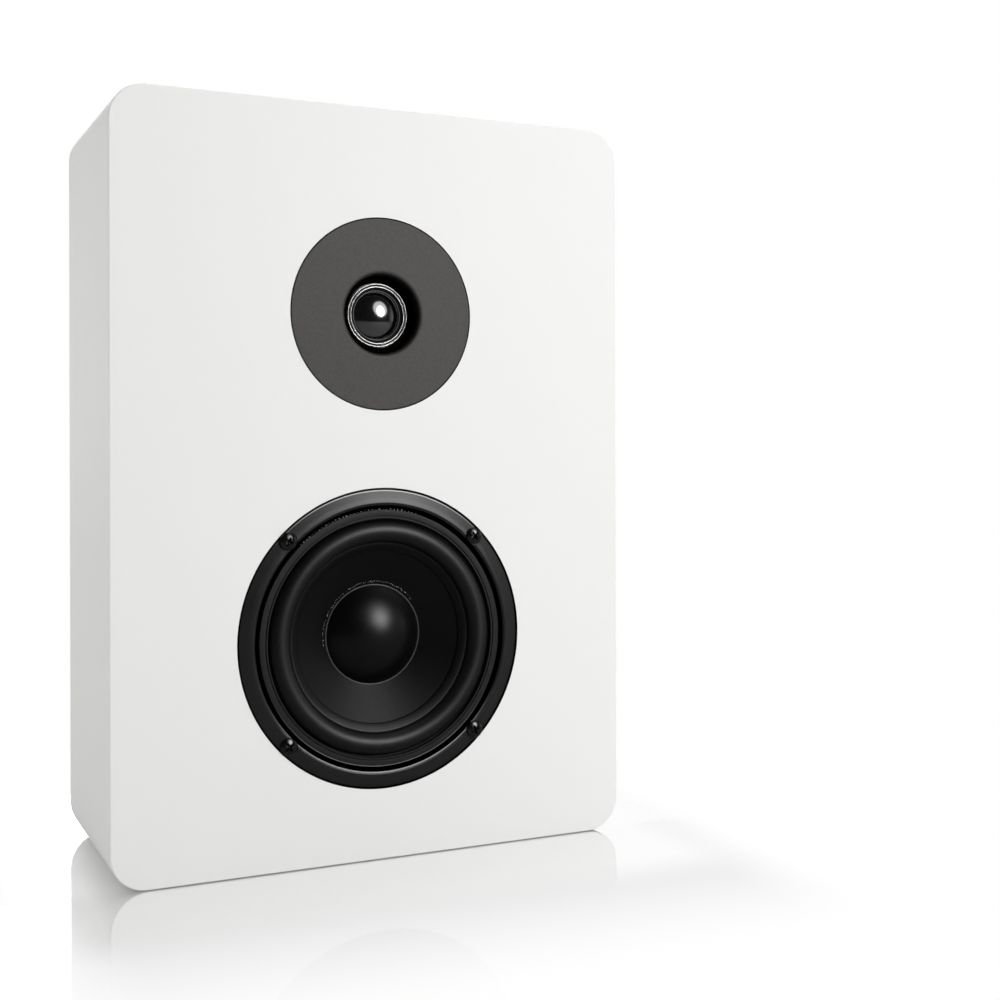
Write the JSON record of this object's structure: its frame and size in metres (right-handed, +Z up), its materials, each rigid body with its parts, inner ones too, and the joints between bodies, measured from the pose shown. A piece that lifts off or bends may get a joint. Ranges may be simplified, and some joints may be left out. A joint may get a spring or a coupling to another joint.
{
  "type": "bookshelf speaker",
  "caption": "Shallow two-way bookshelf speaker: white cabinet with round corners, flush dome tweeter above a cone woofer, screw terminals and wall hangers at the back.",
  "frame": {"origin": "on the underside, in the middle of the cabinet's width and depth", "axes": "+Z up, +Y from the baffle to the back, +X to the right of someone who faces the baffle"},
  "size_m": [0.264, 0.1113, 0.366],
  "materials": {
    "cabinet_paint": "satin white paint on fibreboard",
    "frame_paint": "satin black powder coat",
    "clamp_plastic": "satin black",
    "surround_rubber": "satin black",
    "cone": "satin black, mineral filled",
    "dust_cap": "satin black",
    "former": "plain",
    "copper": "lacquered copper",
    "spider_cloth": "resin treated cloth",
    "motor_steel": "black passivated",
    "ferrite": "bare ferrite",
    "grille_magnet": "nickel plated",
    "black_screw": "gloss black zinc",
    "foam": "closed cell foam",
    "board": "phenolic board",
    "faceplate_plastic": "satin dark grey",
    "chassis_plastic": "matte black",
    "dome": "gloss black",
    "dome_ring": "polished",
    "cup_plastic": "satin black",
    "post_metal": "polished plated brass",
    "red_cap_plastic": "gloss red",
    "black_cap_plastic": "gloss black",
    "plated_steel": "zinc plated",
    "standoff_plastic": "nylon",
    "capacitor_film": "wrapped film",
    "resistor_ceramic": "cement",
    "lead_cover": "flexible cover",
    "felt": "polyester felt"
  },
  "bodies": {
    "cabinet": {"front_baffle": "cabinet_paint", "top_panel": "cabinet_paint", "bottom_panel": "cabinet_paint", "left_side_panel": "cabinet_paint", "right_side_panel": "cabinet_paint", "rear_panel": "cabinet_paint", "damping_felt": "felt", "grille_magnets": "grille_magnet", "woofer_basket": "frame_paint", "woofer_gasket": "foam", "woofer_clamp_ring": "clamp_plastic", "woofer_surround": "surround_rubber", "woofer_spider": "spider_cloth", "woofer_top_plate": "motor_steel", "woofer_magnet": "ferrite", "woofer_yoke": "motor_steel", "woofer_screws": "black_screw", "woofer_terminal_board": "board", "woofer_tinsel_leads": "copper", "tweeter_faceplate": "faceplate_plastic", "tweeter_chassis": "chassis_plastic", "tweeter_gasket": "foam", "tweeter_screws": "black_screw", "tweeter_surround": "surround_rubber", "tweeter_dome_ring": "dome_ring", "tweeter_top_plate": "motor_steel", "tweeter_magnet": "ferrite", "tweeter_yoke": "motor_steel", "tweeter_rear_cup": "chassis_plastic", "tweeter_terminals": "board", "terminal_cup": "cup_plastic", "terminal_cup_gasket": "foam", "terminal_cup_screws": "black_screw", "red_post_stem": "post_metal", "black_post_stem": "post_metal", "post_nuts": "plated_steel", "post_tags": "plated_steel", "keyhole_plates": "plated_steel", "keyhole_screws": "black_screw", "crossover_board": "board", "crossover_tabs": "plated_steel", "crossover_standoffs": "standoff_plastic", "crossover_screws": "plated_steel", "crossover_inductors": "copper", "crossover_capacitors": "capacitor_film", "crossover_resistors": "resistor_ceramic", "input_leads": "lead_cover", "woofer_leads": "lead_cover", "tweeter_leads": "lead_cover"},
    "woofer_diaphragm": {"woofer_cone": "cone", "woofer_dust_cap": "dust_cap", "woofer_coil_former": "former", "woofer_voice_coil": "copper"},
    "tweeter_diaphragm": {"tweeter_dome": "dome", "tweeter_voice_coil": "copper"},
    "red_clamp": {"red_post_washer": "post_metal"},
    "red_cap": {"red_post_cap": "red_cap_plastic"},
    "black_clamp": {"black_post_washer": "post_metal"},
    "black_cap": {"black_post_cap": "black_cap_plastic"}
  },
  "joints": [
    {"name": "woofer_travel", "type": "slide", "parent": "cabinet", "child": "woofer_diaphragm", "axis": [0, -1, 0], "range_m": [-0.004, 0.004], "stiffness_N_per_m": 1000, "deforming": ["woofer_surround", "woofer_spider", "woofer_tinsel_leads"]},
    {"name": "tweeter_travel", "type": "slide", "parent": "cabinet", "child": "tweeter_diaphragm", "axis": [0, -1, 0], "range_m": [-0.0003, 0.0003], "stiffness_N_per_m": 75, "deforming": ["tweeter_surround"]},
    {"name": "red_cap_lift", "type": "slide", "parent": "cabinet", "child": "red_clamp", "axis": [0, 1, 0], "range_m": [0, 0.004]},
    {"name": "red_cap_turn", "type": "hinge", "parent": "red_clamp", "child": "red_cap", "pos_m": [0.0095, 0.0435, 0.2], "axis": [0, 1, 0], "range_deg": [0, 1800]},
    {"name": "black_cap_lift", "type": "slide", "parent": "cabinet", "child": "black_clamp", "axis": [0, 1, 0], "range_m": [0, 0.004]},
    {"name": "black_cap_turn", "type": "hinge", "parent": "black_clamp", "child": "black_cap", "pos_m": [-0.0095, 0.0435, 0.2], "axis": [0, 1, 0], "range_deg": [0, 1800]}
  ],
  "couplings": [
    {"joint": "red_cap_turn", "follows": "red_cap_lift", "rad_per_m": 7854},
    {"joint": "black_cap_turn", "follows": "black_cap_lift", "rad_per_m": 7854}
  ]
}
